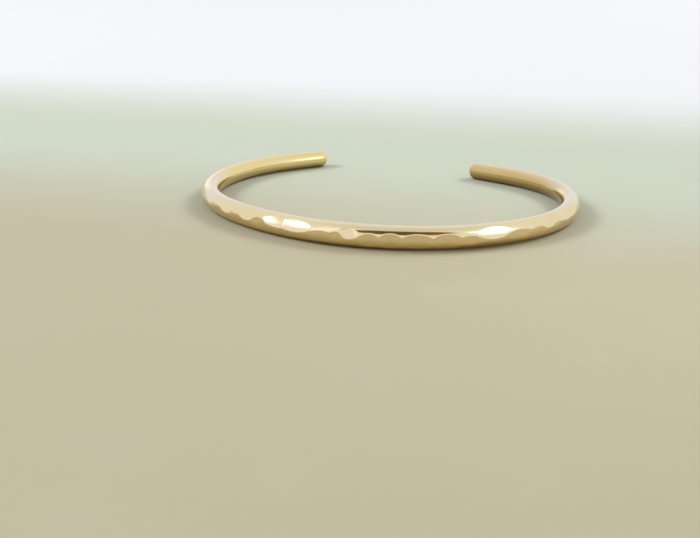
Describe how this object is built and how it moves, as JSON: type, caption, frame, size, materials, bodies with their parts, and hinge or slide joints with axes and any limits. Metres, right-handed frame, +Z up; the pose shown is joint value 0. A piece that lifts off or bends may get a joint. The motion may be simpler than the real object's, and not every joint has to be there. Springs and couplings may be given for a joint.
{
  "type": "open cuff bangle",
  "caption": "Open C-shaped cuff bangle: one polished gold-coloured bar, hammered on its outward face, with blunt rounded ends either side of the gap.",
  "frame": {"origin": "middle of the footprint, on the surface that the bangle lies on", "axes": "+X across the wrist hollow, along the bangle's widest size; +Y out through the gap; +Z up, along the axis that the wrist goes in by"},
  "size_m": [0.0658, 0.0484, 0.0037],
  "materials": {
    "gold_metal": "polished pale gold plate, hammered on the outward face"
  },
  "bodies": {
    "root": {"cuff_bar": "gold_metal"}
  },
  "joints": []
}
